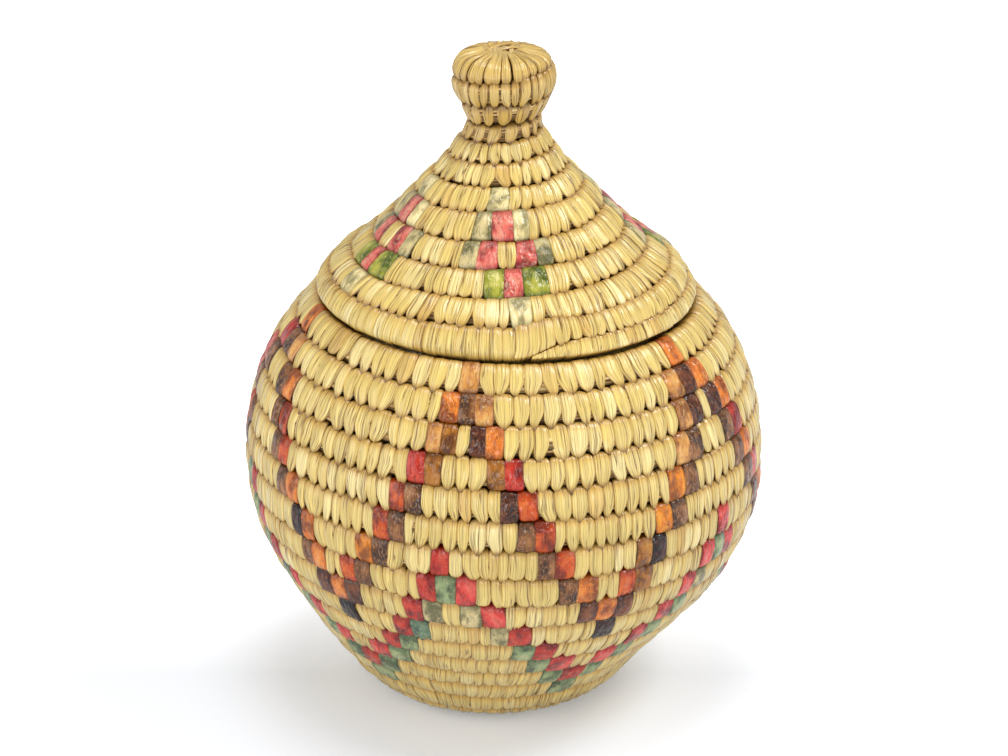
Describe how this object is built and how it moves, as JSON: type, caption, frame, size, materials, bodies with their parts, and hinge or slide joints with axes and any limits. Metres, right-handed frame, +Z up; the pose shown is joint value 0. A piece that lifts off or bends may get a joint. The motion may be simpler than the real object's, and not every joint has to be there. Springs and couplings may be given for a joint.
{
  "type": "coiled basket with lid",
  "caption": "Round lidded basket of coiled grass cord: a globe on a small flat foot, under a pointed lid with a coiled knob that lifts straight off.",
  "frame": {"origin": "middle of the flat foot, on the surface the basket stands on", "axes": "+Z up along the basket's axis, through the knob; -Y towards the viewer of the picture"},
  "size_m": [0.1533, 0.1534, 0.1959],
  "materials": {
    "palm_strip_over_grass": "satin",
    "dry_grass": "matte"
  },
  "bodies": {
    "basket": {"base_start_knot": "dry_grass", "base_coil": "palm_strip_over_grass", "foot_coil": "palm_strip_over_grass", "belly_coil": "palm_strip_over_grass", "shoulder_coil": "palm_strip_over_grass", "mouth_coil": "palm_strip_over_grass"},
    "lid": {"lid_collar_coil": "palm_strip_over_grass", "lid_rim_coil": "palm_strip_over_grass", "lid_coil": "palm_strip_over_grass", "neck_coil": "palm_strip_over_grass", "knob_coil": "palm_strip_over_grass", "knob_cap_coil": "palm_strip_over_grass"}
  },
  "joints": [
    {"name": "lid_lift", "type": "slide", "parent": "basket", "child": "lid", "axis": [0, 0, 1], "range_m": [0, 0.1]}
  ]
}
